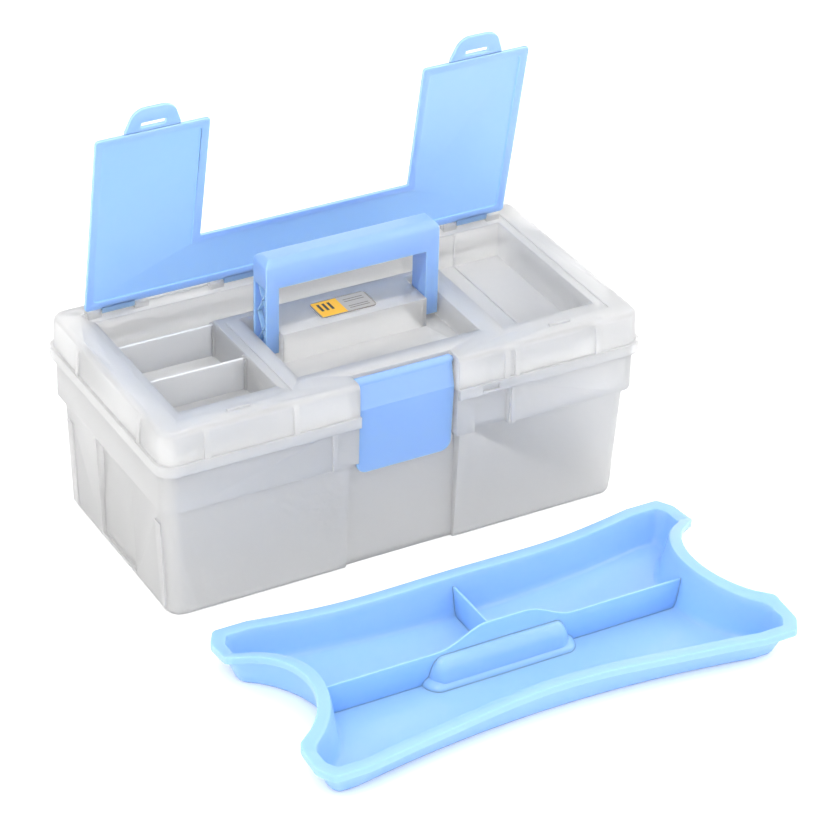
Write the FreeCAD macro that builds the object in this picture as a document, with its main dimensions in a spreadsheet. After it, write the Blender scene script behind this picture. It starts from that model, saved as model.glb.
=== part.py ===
import FreeCAD, Part
import os
import re
import Sketcher

# Moulded toolbox: a deep base, a lid with a U-shaped organiser in its top, the organiser's cover,
# a folding carry handle, a drop-over latch, two lift-out dividers, a label and a lift-out tray.
# X runs along the box, Y to the rear, Z up. The origin is the middle of the base's underside.

doc = FreeCAD.newDocument("toolbox")
sheet = doc.addObject("Spreadsheet::Sheet", "dims")

# Driving dimensions, mm and degrees.
SIZES = {
    # base: walls, collar, tongue, front and end recesses
    "base_len": 315.6, "base_dep": 154.2, "base_draft": 3.4, "base_corner": 10.0, "body_z": 105.2,
    "collar_tall": 26.7, "collar_step": 3.5, "tongue": 4.8, "wall": 1.8, "floor": 2.2,
    "foot_round": 2.5, "recess_len": 75.0, "recess_depth": 3.5, "end_len": 50.0,
    "end_depth": 2.0, "end_sill": 4.0, "notch_len": 67.0, "notch_depth": 7.0,
    "catch_drop": 9.2, "catch_thick": 1.7, "catch_rise": 1.0, "lock_in": 46.0, "lock_len": 23.0,
    # lid: rim band, walls, bays, well and central block
    "lid_gap": 0.2, "rim_lip": 3.0, "rim_tall": 7.1, "rim_play": 0.9, "lid_step": 2.0,
    "lid_draft": 0.9, "lid_tall": 27.8, "lid_corner": 9.0, "lid_round": 3.5,
    "bay_len": 64.3, "land_front": 24.1, "land_back": 23.6, "bay_depth": 24.0, "ledge": 15.0,
    "strip_y": 27.5, "seat": 1.0, "well_play": 1.4, "well_depth": 16.0, "well_side": 2.7,
    "lock_slot": 12.0, "lock_slot_in": 3.0, "lock_slot_tall": 3.6,
    "block_len": 98.8, "block_front": 12.0, "block_back": 21.5, "block_rise": 2.5,
    # rear hinge of the lid
    "hinge_x": 100.0, "hinge_out": 4.9, "hinge_pin": 2.0, "hinge_eye": 4.0, "hinge_len": 16.0,
    "hinge_lug": 5.0, "hinge_mouth": 3.2, "pin_play": 0.08, "side_play": 0.4,
    # organiser cover and its hinge and snap studs
    "cover_lap": 5.0, "cover_thick": 2.0, "cover_gap": 0.15, "cover_nose": 9.1,
    "cover_cross": 43.0, "cover_back": 7.0, "cover_rise": 3.0, "cover_open": 79.4,
    "cover_pin": 1.3, "cover_barrel": 2.1, "cover_edge": 3.6, "cover_eye": 3.0,
    "cover_lug": 9.0, "side_tongue": 21.5, "side_tongue_x": 123.5, "mid_tongue": 104.0,
    "tab_len": 36.0, "tab_x": 108.7, "tab_over": 1.4, "tab_step": 1.0, "slot_in": 10.6,
    "slot_len": 15.6, "slot_wide": 3.0, "stud_play": 0.5, "stud_rise": 1.6,
    # carry handle
    "handle_gap": 0.9, "leg_wide": 8.7, "leg_deep": 17.2, "handle_reach": 54.1,
    "bar_tall": 19.2, "pivot_drop": 4.2, "leg_tail": 9.6, "pivot_pin": 2.6, "pin_in": 4.0,
    "bar_round": 5.5, "leg_channel": 5.0, "leg_skin": 1.9,
    # latch
    "latch_gap": 1.3, "latch_thick": 2.2, "latch_skirt": 11.0, "latch_drop": 3.8,
    "latch_pin": 1.6, "latch_barrel": 2.9, "latch_in": 2.0, "latch_toe": 2.0,
    "latch_belly": 4.4, "belly_rise": 1.2, "toe_round": 7.0, "hook_gap": 0.35,
    "hook_thick": 2.0, "notch_gap": 0.35, "notch_low": 11.5,
    # tray
    "tray_y": -201.3, "tray_gap": 0.5, "tray_dep": 154.4, "tray_tall": 23.0, "rim_rise": 9.5,
    "tray_wall": 1.8, "tray_floor": 1.8, "flange": 6.0, "flange_thick": 2.2, "tray_corner": 8.0,
    "side_bow": 12.5, "bow_half": 130.0,
    "scoop_out": 21.5, "scoop_radius": 50.0, "arch_half": 46.0,
    "tray_taper": 0.26, "rib_thick": 1.5, "rib_tall": 21.8, "hump_tall": 33.3, "hump_top": 46.0,
    "hump_foot": 82.0, "cross_x": -3.5, "cross_tall": 20.5, "grip_left": 52.0,
    "grip_right": 42.0, "grip_radius": 10.0, "grip_z": 8.0,
    # dividers and label
    "divider_thick": 1.5, "divider_drop": 2.0, "divider_gap": 0.15, "divider_front": 16.2,
    "guide": 1.4, "label_len": 38.0, "label_dep": 19.0, "label_thick": 0.3, "label_y": 4.3,
}
for row, (alias, value) in enumerate(SIZES.items(), start=1):
    sheet.set("A%d" % row, alias.replace("_", " "))
    sheet.set("B%d" % row, str(value))
    sheet.setAlias("B%d" % row, alias)
doc.recompute()

# Places that follow from the driving dimensions, each written once.
PLACES = {
    "collar_z": "body_z - collar_tall", "tongue_z": "body_z + tongue",
    "collar_hl": "base_len/2 + collar_step", "collar_hd": "base_dep/2 + collar_step",
    "recess_y": "base_dep/2 - base_draft - recess_depth",
    "end_x": "base_len/2 - base_draft - end_depth", "notch_y": "collar_hd - notch_depth",
    "catch_z": "body_z - catch_drop",
    "rim_hl": "collar_hl + rim_lip", "rim_hd": "collar_hd + rim_lip", "rim_z": "body_z + rim_tall",
    "lid_hl": "rim_hl - lid_step", "lid_hd": "rim_hd - lid_step",
    "shoulder_z": "tongue_z + lid_gap", "lid_z": "body_z + lid_tall", "seat_z": "lid_z - seat",
    "roof_z": "seat_z - wall", "bay_floor": "seat_z - bay_depth",
    "well_floor": "seat_z - well_depth", "block_z": "lid_z + block_rise",
    "handle_in": "block_len/2 + handle_gap", "handle_out": "handle_in + leg_wide",
    "pivot_z": "block_z - pivot_drop", "handle_z": "pivot_z + handle_reach",
    "well_hl": "handle_out + well_side", "well_front": "handle_reach + well_play",
    "bay_in": "well_hl + ledge", "bay_out": "bay_in + bay_len",
    "bay_front": "lid_hd - land_front", "bay_back": "lid_hd - land_back",
    "hinge_y": "rim_hd + hinge_out", "hinge_side": "hinge_len/2 + side_play",
    "cover_y": "bay_back + cover_back", "cover_z": "seat_z + cover_rise",
    "cover_in": "bay_in - cover_lap", "cover_out": "bay_out + cover_lap",
    "cover_low": "cover_gap - cover_rise", "cover_top": "cover_low + cover_thick",
    "leg_end": "cover_y + bay_front + cover_nose", "tab_end": "cover_y + lid_hd + tab_over",
    "slot_y": "lid_hd - slot_in", "tab_low": "cover_low + tab_step",
    "latch_hl": "notch_len/2 - latch_gap", "latch_y": "notch_y - latch_in",
    "latch_z": "lid_z - latch_drop", "notch_deep": "latch_y - latch_barrel - notch_gap",
    "notch_low_z": "latch_z - notch_low", "toe_z": "collar_z - latch_skirt",
    "belly_z": "rim_z + belly_rise",
    "tray_hl": "collar_hl - wall - tray_gap", "tray_hd": "tray_dep/2",
    "scoop_x": "tray_hl + scoop_out",
    "bow_radius": "(bow_half*bow_half + side_bow*side_bow)/(2*side_bow)",
    "bow_y": "tray_hd - side_bow + bow_radius",
    "arch_radius": "(arch_half*arch_half + rim_rise*rim_rise)/(2*rim_rise)",
    "arch_z": "tray_tall + rim_rise - arch_radius",
}


def expand(text):
    """A formula with every place written out and every driving dimension taken from the sheet."""
    def swap(match):
        word = match.group(0)
        if word in PLACES:
            return "(" + expand(PLACES[word]) + ")"
        return "dims." + word if word in SIZES else word
    return re.sub(r"[a-z]\w*", swap, str(text))


def number(text):
    """The present value of a formula, for what can't hold an expression."""
    plain = re.sub(r"dims\.(\w+)", lambda match: "(%r)" % sheet.get(match.group(1)), expand(text))
    return FreeCAD.Units.Quantity(plain).Value


def bind(thing, **formulas):
    for prop, text in formulas.items():
        thing.setExpression(prop, expand(text))
    return thing


def move(thing, x=None, y=None, z=None):
    for axis, text in (("x", x), ("y", y), ("z", z)):
        if text is not None:
            thing.setExpression("Placement.Base." + axis, expand(text))
    return thing


def both(half):
    """The range that lies evenly about the middle."""
    return "-(%s)" % half, half


def beside(side, near, far):
    """A range along X on the left (-1) or right (1) of the middle."""
    return (near, far) if side > 0 else ("-(%s)" % far, "-(%s)" % near)


def box(name, x, y, z):
    thing = doc.addObject("Part::Box", name)
    for prop, (low, high) in (("Length", x), ("Width", y), ("Height", z)):
        thing.setExpression(prop, expand("(%s) - (%s)" % (high, low)))
    return move(thing, x[0], y[0], z[0])


def rod(name, x, y, z, radius):
    """A cylinder along X."""
    thing = doc.addObject("Part::Cylinder", name)
    thing.Placement.Rotation = FreeCAD.Rotation(FreeCAD.Vector(0, 1, 0), 90)
    bind(thing, Radius=radius, Height="(%s) - (%s)" % (x[1], x[0]))
    return move(thing, x[0], y, z)


def post(name, x, y, z, radius, low_radius=None):
    """A cylinder along Z, or a cone where its lower end has another radius."""
    kind = "Part::Cone" if low_radius else "Part::Cylinder"
    thing = doc.addObject(kind, name)
    bind(thing, Height="(%s) - (%s)" % (z[1], z[0]))
    if low_radius:
        bind(thing, Radius1=low_radius, Radius2=radius)
    else:
        bind(thing, Radius=radius)
    return move(thing, x, y, z[0])


def fuse(name, *things):
    joined = doc.addObject("Part::MultiFuse", name)
    joined.Shapes = things
    joined.Refine = True
    return joined


def cut(name, base, *tools):
    result = doc.addObject("Part::Cut", name)
    result.Base = base
    result.Tool = tools[0] if len(tools) == 1 else fuse(name + "_tools", *tools)
    result.Refine = True
    return result


def common(name, *things):
    shared = doc.addObject("Part::MultiCommon", name)
    shared.Shapes = things
    return shared


def upright(edge):
    return edge.BoundBox.ZLength > max(edge.BoundBox.XLength, edge.BoundBox.YLength)


def at_height(shape, high):
    """A test for the level edges at the top (True) or the bottom (False) of a shape."""
    level = shape.BoundBox.ZMax if high else shape.BoundBox.ZMin
    return lambda edge: edge.BoundBox.ZLength < 0.01 and abs(edge.BoundBox.ZMin - level) < 0.01


def rounded(name, base, *rounds):
    """Fillets: each round is a test for edges and a formula for their radius."""
    doc.recompute()
    thing = doc.addObject("Part::Fillet", name)
    thing.Base = base
    edges = []
    for index, edge in enumerate(base.Shape.Edges, start=1):
        for test, radius in rounds:
            if test(edge):
                edges.append((index, number(radius), number(radius)))
                break
    thing.Edges = edges
    return thing


def frustum(name, low, high, z):
    """A box whose half sizes (x, y) go from low at its foot to high at its top."""
    thing = doc.addObject("Part::Wedge", name)
    thing.Placement.Rotation = FreeCAD.Rotation(FreeCAD.Vector(1, 0, 0), 90)
    bind(thing, Ymin=z[0], Ymax=z[1])
    bind(thing, Xmin="-(%s)" % low[0], Xmax=low[0], Zmin="-(%s)" % low[1], Zmax=low[1])
    bind(thing, X2min="-(%s)" % high[0], X2max=high[0], Z2min="-(%s)" % high[1], Z2max=high[1])
    return thing


def soft_frustum(name, low, high, z, corner):
    return rounded(name, frustum(name + "_plain", low, high, z), (upright, corner))


NODES = []


def node(name, thing):
    thing.Label = name
    NODES.append(thing)
    return thing


# ---- base_box: drafted walls under a straight collar, open at the top ----
def base_outside():
    foot = ("base_len/2 - base_draft", "base_dep/2 - base_draft")
    walls = frustum("base_walls", foot, ("base_len/2", "base_dep/2"), ("0", "collar_z"))
    doc.recompute()
    bottom = at_height(walls.Shape, False)
    walls = rounded("base_walls_soft", walls, (upright, "base_corner"), (bottom, "foot_round"))
    half = ("collar_hl", "collar_hd")
    collar = soft_frustum("collar", half, half, ("collar_z", "tongue_z"), "base_corner")
    return fuse("base_outside", walls, collar)


def base_inside():
    foot = ("base_len/2 - base_draft - wall", "base_dep/2 - base_draft - wall")
    head = ("base_len/2 - wall", "base_dep/2 - wall")
    corner = "base_corner - wall"
    low = soft_frustum("base_void", foot, head, ("floor", "collar_z + wall"), corner)
    half = ("collar_hl - wall", "collar_hd - wall")
    high = soft_frustum("collar_void", half, half, ("collar_z + wall", "tongue_z + 1"), corner)
    room = fuse("base_room", low, high)
    far = "collar_hd + 1"
    walls = [
        box("recess_wall", both("recess_len/2 + wall"), ("-(%s)" % far, "-(recess_y - wall)"),
            ("0", "collar_z + wall")),
        box("notch_wall", both("notch_len/2 + wall"), ("-(%s)" % far, "-(notch_y - wall)"),
            ("collar_z", "tongue_z + 1")),
        box("lock_wall", ("lock_in - wall", "lock_in + lock_len + wall"),
            ("-(%s)" % far, "-(base_dep/2 - wall)"), ("collar_z", "tongue_z + 1")),
    ]
    for side in (-1, 1):
        walls.append(box("end_wall", beside(side, "end_x - wall", "collar_hl + 1"),
                         both("end_len/2 + wall"), ("0", "collar_z + wall")))
    return cut("base_inside", room, *walls)


def base_hinge_lugs():
    lugs = []
    for side in (-1, 1):
        for end in (-1, 1):
            centre = "%d*hinge_x + %d*(hinge_side + hinge_lug/2)" % (side, end)
            span = (centre + " - hinge_lug/2", centre + " + hinge_lug/2")
            lugs.append(rod("hinge_lug", span, "hinge_y", "body_z", "hinge_eye"))
            lugs.append(box("hinge_web", span, ("collar_hd - wall", "hinge_y"),
                            ("body_z - hinge_eye", "body_z - rim_play")))
        span = ("%d*hinge_x - hinge_side" % side, "%d*hinge_x + hinge_side" % side)
        lugs.append(rod("hinge_pin", span, "hinge_y", "body_z", "hinge_pin"))
    return lugs


far_front = "-(collar_hd + 1)"
base_cuts = [
    box("recess", both("recess_len/2"), (far_front, "-recess_y"), ("-1", "collar_z")),
    box("notch", both("notch_len/2"), (far_front, "-notch_y"), ("collar_z - 1", "tongue_z + 1")),
    box("lock_recess", ("lock_in", "lock_in + lock_len"), (far_front, "-base_dep/2"),
        ("collar_z", "tongue_z + 1")),
]
for side in (-1, 1):
    base_cuts.append(box("end_recess", beside(side, "end_x", "collar_hl + 1"),
                         both("end_len/2"), ("end_sill", "collar_z")))
catch = box("catch", both("latch_hl - wall"), ("-(notch_y + catch_rise)", "-(notch_y - wall)"),
            ("catch_z", "catch_z + catch_thick"))
base_shell = cut("base_shell", base_outside(), base_inside(), *base_cuts)
node("base_box", fuse("base_with_lugs", base_shell, catch, *base_hinge_lugs()))


# ---- lid: rim band and drafted walls outside; bays, well and block let into its top ----
def lid_outside():
    half = ("rim_hl", "rim_hd")
    band = soft_frustum("rim_band", half, half, ("body_z", "rim_z"), "lid_corner + lid_step")
    top = frustum("lid_walls", ("lid_hl", "lid_hd"), ("lid_hl - lid_draft", "lid_hd - lid_draft"),
                  ("body_z + 1", "lid_z"))
    doc.recompute()
    crown = at_height(top.Shape, True)
    top = rounded("lid_walls_soft", top, (upright, "lid_corner"), (crown, "lid_round"))
    return fuse("lid_outside", band, top)


def lid_inside():
    half = ("collar_hl + rim_play", "collar_hd + rim_play")
    low = soft_frustum("rim_void", half, half, ("body_z - 1", "shoulder_z"), "lid_corner")
    half = ("collar_hl - wall", "collar_hd - wall")
    high = soft_frustum("lid_void", half, half, ("body_z", "roof_z"), "lid_corner - wall")
    room = fuse("lid_room", low, high)
    edge = "-(collar_hd + 1)"
    walls = (
        box("lid_notch_wall", both("notch_len/2 + wall"), (edge, "-(notch_y - wall)"),
            ("shoulder_z", "lid_z")),
        box("lid_deep_wall", both("notch_len/2 + wall"), (edge, "-(notch_deep - wall)"),
            ("notch_low_z - wall", "lid_z")),
    )
    return cut("lid_inside", room, *walls)


def cover_outline(name, grow, z):
    """The U that the cover fills, grown all round, in the lid's own place."""
    front = "-(bay_front + cover_nose + %s)" % grow
    back = "cover_y + cover_eye"
    cross = "cover_y - cover_cross - %s" % grow
    boxes = [box(name, both("cover_out + %s" % grow), (cross, back), z)]
    for side in (-1, 1):
        x = beside(side, "cover_in - %s" % grow, "cover_out + %s" % grow)
        boxes.append(box(name, x, (front, back), z))
    return boxes


def bay_boxes():
    z = ("bay_floor", "lid_z + 1")
    boxes = [box("strip", both("bay_in + 1"), ("strip_y", "bay_back"), z)]
    for side in (-1, 1):
        boxes.append(box("bay", beside(side, "bay_in", "bay_out"), ("-bay_front", "bay_back"), z))
    return boxes


def lid_hollows():
    """The moulding is hollow under the ledges, the well and the block."""
    low = "bay_floor - wall - 1"
    inner = both("bay_in - wall")
    hollows = [
        box("under_well", inner, ("-(collar_hd - wall)", "strip_y - wall"),
            (low, "well_floor - wall")),
        box("front_hollow", inner, ("-(collar_hd - wall)", "-(well_front + wall)"),
            (low, "roof_z")),
        box("back_hollow", inner, ("block_back + wall", "strip_y - wall"), (low, "roof_z")),
        box("block_hollow", both("block_len/2 - wall"),
            ("-(block_front - wall)", "block_back - wall"), (low, "block_z - wall")),
    ]
    for side in (-1, 1):
        hollows.append(box("ledge_hollow", beside(side, "well_hl + wall", "bay_in - wall"),
                           ("-(collar_hd - wall)", "strip_y - wall"), (low, "roof_z")))
    return hollows


def divider_places():
    return ("divider_back", "strip_y"), ("divider_front", "-divider_front")


def lid_guides():
    """Pairs of small upright ribs on the left bay's side walls that hold each divider."""
    guides = []
    for _, y in divider_places():
        for wall_x, inward in (("-bay_out", 1), ("-bay_in", -1)):
            for end in (-1, 1):
                edge = "%s + %d*(divider_thick/2 + divider_gap + guide/2)" % (y, end)
                x = (wall_x, "%s + guide" % wall_x) if inward > 0 else ("%s - guide" % wall_x, wall_x)
                guides.append(box("guide", x, (edge + " - guide/2", edge + " + guide/2"),
                                  ("bay_floor", "seat_z - divider_drop")))
    return guides


def lid_cover_lugs():
    """Lugs that carry the cover's pins, a bored pair for each tongue."""
    lugs, bores = [], []
    edges = []
    for side in (-1, 1):
        edges.append((side, "side_tongue_x - side_tongue/2 - side_play", -1))
        edges.append((side, "side_tongue_x + side_tongue/2 + side_play", 1))
        edges.append((side, "mid_tongue/2 + side_play", 1))
    for side, edge, outward in edges:
        near, far = (edge, edge + " + cover_lug") if outward > 0 else (edge + " - cover_lug", edge)
        x = beside(side, near, far)
        lugs.append(rod("cover_eye", x, "cover_y", "cover_z", "cover_eye"))
        lugs.append(box("cover_lug_foot", x, ("cover_y - cover_eye", "cover_y + cover_eye"),
                        ("seat_z - wall", "cover_z")))
        x = (x[0] + " - 1", x[1] + " + 1")
        bores.append(rod("cover_bore", x, "cover_y", "cover_z", "cover_pin + pin_play"))
    return lugs, bores


def lid_hinge_eyes():
    eyes, bores = [], []
    for side in (-1, 1):
        x = ("%d*hinge_x - hinge_len/2" % side, "%d*hinge_x + hinge_len/2" % side)
        wide = (x[0] + " - 1", x[1] + " + 1")
        eyes.append(rod("lid_eye", x, "hinge_y", "body_z", "hinge_eye"))
        eyes.append(box("lid_arm", x, ("rim_hd - wall", "hinge_y"),
                        ("body_z", "body_z + hinge_eye")))
        bores.append(rod("lid_bore", wide, "hinge_y", "body_z", "hinge_pin + pin_play"))
        bores.append(box("lid_mouth", wide, ("hinge_y", "hinge_y + hinge_eye + 1"),
                         ("body_z - hinge_mouth/2", "body_z + hinge_mouth/2")))
    return eyes, bores


tub = box("tub", both("bay_out + wall"), ("-(bay_front + wall)", "bay_back + wall"),
          ("bay_floor - wall", "seat_z"))
tub_shell = cut("tub_shell", tub, *lid_hollows()[:3], *lid_hollows()[4:])
lid_shell = cut("lid_shell", lid_outside(), lid_inside())
edge = "-(rim_hd + 1)"
lid_openings = bay_boxes() + cover_outline("seat", "side_play", ("seat_z", "lid_z + 1")) + [
    box("well", both("well_hl"), ("-well_front", "block_back"), ("well_floor", "lid_z + 1")),
    box("lid_notch", both("notch_len/2"), (edge, "-notch_y"), ("body_z - 1", "lid_z + 1")),
    box("lid_notch_deep", both("notch_len/2"), (edge, "-notch_deep"),
        ("notch_low_z", "lid_z + 1")),
    box("lock_window", ("lock_in + lock_slot_in", "lock_in + lock_slot_in + lock_slot"),
        (edge, "-collar_hd"), ("rim_z - wall - lock_slot_tall", "rim_z - wall")),
]
well_walls = []
for side in (-1, 1):
    well_walls.append(box("well_side", beside(side, "well_hl", "well_hl + wall"),
                          ("-(well_front + wall)", "block_back + wall"),
                          ("well_floor - wall", "seat_z")))
well_walls.append(box("well_front_wall", both("well_hl + wall"),
                      ("-(well_front + wall)", "-well_front"), ("well_floor - wall", "seat_z")))
lid_body = cut("lid_body", fuse("lid_full", lid_shell, tub_shell, *well_walls), *lid_openings)
block = box("block", both("block_len/2"), ("-block_front", "block_back"),
            ("well_floor - wall", "block_z"))
pivot_bore = rod("pivot_bore", both("handle_in"), "0", "pivot_z", "pivot_pin + pin_play")
block_room = lid_hollows()[3]
latch_bore = rod("latch_bore", both("notch_len/2 + wall + 1"), "-latch_y", "latch_z",
                 "latch_pin + pin_play")
cover_lugs, cover_bores = lid_cover_lugs()
lid_eyes, lid_bores = lid_hinge_eyes()
studs = []
for side in (-1, 1):
    x = "%d*tab_x" % side
    studs.append(box("stud", (x + " - slot_len/2 + stud_play", x + " + slot_len/2 - stud_play"),
                     ("-(slot_y + slot_wide/2 - stud_play)", "-(slot_y - slot_wide/2 + stud_play)"),
                     ("lid_z - seat", "lid_z + stud_rise")))
lid_solid = fuse("lid_solid", lid_body, block, *cover_lugs, *lid_eyes, *lid_guides(), *studs)
node("lid", cut("lid_cut", lid_solid, block_room, pivot_bore, latch_bore, *cover_bores, *lid_bores))

for name, y in divider_places():
    node(name, box(name, ("-bay_out + divider_gap", "-bay_in - divider_gap"),
                   (y + " - divider_thick/2", y + " + divider_thick/2"),
                   ("bay_floor", "seat_z - divider_drop")))
node("maker_label", box("maker_label", both("label_len/2"),
                        ("label_y - label_dep/2", "label_y + label_dep/2"),
                        ("block_z", "block_z + label_thick")))


# ---- organiser_cover: drawn closed about its hinge axis, then turned open ----
def cover_plate():
    z = ("cover_low", "cover_top")
    things = [box("cover_cross_strip", both("cover_out"), ("-cover_cross", "-cover_edge"), z)]
    for side in (-1, 1):
        things.append(box("cover_leg", beside(side, "cover_in", "cover_out"),
                          ("-leg_end", "-cover_edge"), z))
        x = "%d*tab_x" % side
        span = (x + " - tab_len/2", x + " + tab_len/2")
        tab_z = ("tab_low", "tab_low + cover_thick")
        things.append(box("cover_tab", span, ("-tab_end", "-(leg_end - cover_lap)"), tab_z))
    return things


def cover_tongues():
    """Barrelled tongues along the rear edge, each with a pin at both ends."""
    things = []
    spans = [("-mid_tongue/2", "mid_tongue/2")]
    for side in (-1, 1):
        x = "%d*side_tongue_x" % side
        spans.append((x + " - side_tongue/2", x + " + side_tongue/2"))
    for low, high in spans:
        things.append(box("cover_tongue", (low, high), ("-cover_edge - 1", "0"),
                          ("cover_low", "cover_top")))
        things.append(rod("cover_barrel", (low, high), "0", "0", "cover_barrel"))
        pin = (low + " - cover_lug/2", high + " + cover_lug/2")
        things.append(rod("cover_pin", pin, "0", "0", "cover_pin"))
    return things


cover_slots = []
for side in (-1, 1):
    x = "%d*tab_x" % side
    cover_slots.append(box("tab_slot", (x + " - slot_len/2", x + " + slot_len/2"),
                           ("-(cover_y + slot_y + slot_wide/2)", "-(cover_y + slot_y - slot_wide/2)"),
                           ("cover_low - 1", "cover_top + tab_step + 1")))
cover = cut("cover_cut", fuse("cover_solid", *cover_plate(), *cover_tongues()), *cover_slots)
cover.Placement.Rotation = FreeCAD.Rotation(FreeCAD.Vector(1, 0, 0), -1)
cover.setExpression("Placement.Rotation.Angle", expand("-cover_open"))
node("organiser_cover", move(cover, "0", "cover_y", "cover_z"))


# ---- carry_handle: a U with channelled legs and a pin inside each foot ----
def handle():
    bar = box("handle_block", both("handle_out"), both("leg_deep/2"),
              ("pivot_z - leg_tail", "handle_z"))
    doc.recompute()
    crown = at_height(bar.Shape, True)
    bar = rounded("handle_soft", bar, (crown, "bar_round"))
    cuts = [box("handle_gap", both("handle_in"), both("leg_deep"),
                ("pivot_z - leg_tail - 1", "handle_z - bar_tall"))]
    pins = []
    for side in (-1, 1):
        cuts.append(box("leg_channel", beside(side, "handle_out - leg_channel", "handle_out + 1"),
                        both("leg_deep/2 - leg_skin"),
                        ("pivot_z - leg_tail + leg_skin", "handle_z - bar_tall")))
        pins.append(rod("handle_pin", beside(side, "handle_in - pin_in", "handle_in + leg_skin"),
                        "0", "pivot_z", "pivot_pin"))
    return fuse("handle", cut("handle_cut", bar, *cuts), *pins)


node("carry_handle", handle())


# ---- front_latch: a bent plate hung from a barrel, with a hook that goes under the catch ----
def plane_of(body, role):
    return next(plane for plane in body.Origin.OriginFeatures if plane.Role == role)


def latch_plate():
    """The latch's section across the box, padded both ways along X."""
    body = doc.addObject("PartDesign::Body", "latch_body")
    sketch = body.newObject("Sketcher::SketchObject", "latch_section")
    sketch.AttachmentSupport = [(plane_of(body, "YZ_Plane"), "")]
    sketch.MapMode = "FlatFace"
    out = "-(notch_y + latch_belly)"
    toe = "-(notch_y + latch_toe)"
    points = (
        ("-(latch_y + latch_barrel*0.6)", "latch_z + latch_barrel*0.8"),
        (out, "belly_z"),
        (toe, "toe_z"),
        (toe + " + latch_thick", "toe_z"),
        (out + " + latch_thick", "belly_z"),
        ("-latch_y", "latch_z"),
    )
    corners = [FreeCAD.Vector(number(y), number(z), 0) for y, z in points]
    for index, corner in enumerate(corners):
        sketch.addGeometry(Part.LineSegment(corner, corners[(index + 1) % len(corners)]))
    for index, (y, z) in enumerate(points):
        after = (index + 1) % len(points)
        sketch.addConstraint(Sketcher.Constraint("Coincident", index, 2, after, 1))
    for index, (y, z) in enumerate(points):
        for kind, text, value in (("DistanceX", y, corners[index].x), ("DistanceY", z, corners[index].y)):
            held = sketch.addConstraint(Sketcher.Constraint(kind, -1, 1, index, 1, value))
            sketch.setExpression("Constraints[%d]" % held, expand(text))
    pad = body.newObject("PartDesign::Pad", "latch_pad")
    pad.Profile = sketch
    pad.Midplane = True
    bind(pad, Length="2*latch_hl")
    doc.recompute()
    return body


def latch():
    plate = latch_plate()
    low = plate.Shape.BoundBox.ZMin

    def at_toe(edge):
        return edge.BoundBox.ZMax < low + 0.01 and edge.BoundBox.XLength < 0.01

    plate = rounded("latch_soft", plate, (at_toe, "toe_round"))
    barrel = rod("latch_barrel_rod", both("latch_hl"), "-latch_y", "latch_z", "latch_barrel")
    pin = rod("latch_pins", both("notch_len/2 + wall"), "-latch_y", "latch_z", "latch_pin")
    hook = box("latch_hook", both("latch_hl - 2*wall"),
               ("-(notch_y + latch_toe + latch_thick/2)", "-(notch_y + hook_gap)"),
               ("catch_z - hook_gap - hook_thick", "catch_z - hook_gap"))
    return fuse("latch", plate, barrel, pin, hook)


node("front_latch", latch())


# ---- lift_out_tray: drawn about its own middle, then set in front of the box ----
def tray_shape(name, inset, z):
    """The tray's drafted outline: a box with bowed long sides and scooped ends."""
    low_inset = "(%s + tray_taper*(tray_tall - (%s)))" % (inset, z[0])
    top_inset = "(%s + tray_taper*(tray_tall - (%s)))" % (inset, z[1])
    low = ("tray_hl - %s" % low_inset, "tray_hd - %s" % low_inset)
    top = ("tray_hl - %s" % top_inset, "tray_hd - %s" % top_inset)
    cuts = []
    for side in (-1, 1):
        cuts.append(post(name + "_scoop", "%d*scoop_x" % side, "0", z,
                         "scoop_radius + " + top_inset, "scoop_radius + " + low_inset))
        cuts.append(post(name + "_bow", "0", "%d*bow_y" % side, z,
                         "bow_radius + " + top_inset, "bow_radius + " + low_inset))
    return cut(name, soft_frustum(name + "_box", low, top, z, "tray_corner"), *cuts)


def tray_flange():
    """The turned-out rim: flat along the sides, arched up over each scooped end."""
    z = ("tray_tall - flange_thick", "tray_tall + rim_rise")
    half = ("tray_hl", "tray_hd")
    slab = soft_frustum("flange_slab", half, half, z, "tray_corner")
    cuts = []
    for side in (-1, 1):
        cuts.append(post("flange_scoop", "%d*scoop_x" % side, "0", z, "scoop_radius"))
        cuts.append(post("flange_bow", "0", "%d*bow_y" % side, z, "bow_radius"))
    slab = cut("flange_outline", slab, *cuts)
    long = both("tray_hl + 1")
    arch = rod("arch", long, "0", "arch_z", "arch_radius")
    flat = box("flange_flat", long, both("tray_hd + 1"), ("tray_tall - flange_thick", "tray_tall"))
    under = rod("arch_under", long, "0", "arch_z", "arch_radius - flange_thick")
    return cut("flange_ring", common("flange_crown", slab, fuse("flange_zone", arch, flat)), under)


def tray_ribs():
    half = "rib_thick/2"
    ribs = [
        box("long_rib", both("tray_hl"), both(half), ("tray_floor/2", "rib_tall")),
        frustum("hump", ("hump_foot/2", half), ("hump_top/2", half), ("tray_floor", "hump_tall")),
        box("cross_rib", ("cross_x - rib_thick/2", "cross_x + rib_thick/2"), ("0", "tray_hd"),
            ("tray_floor/2", "cross_tall")),
    ]
    grip = common("grip", rod("grip_rod", ("-grip_left", "grip_right"), "0", "grip_z", "grip_radius"),
                  box("grip_side", ("-grip_left", "grip_right"), ("-grip_radius", "0"),
                      ("tray_floor/2", "grip_z + grip_radius")))
    trim = tray_shape("rib_trim", "flange + tray_wall/2", ("0", "tray_tall + rim_rise + 1"))
    return common("tray_ribs", fuse("rib_set", *ribs, grip), trim)


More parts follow.
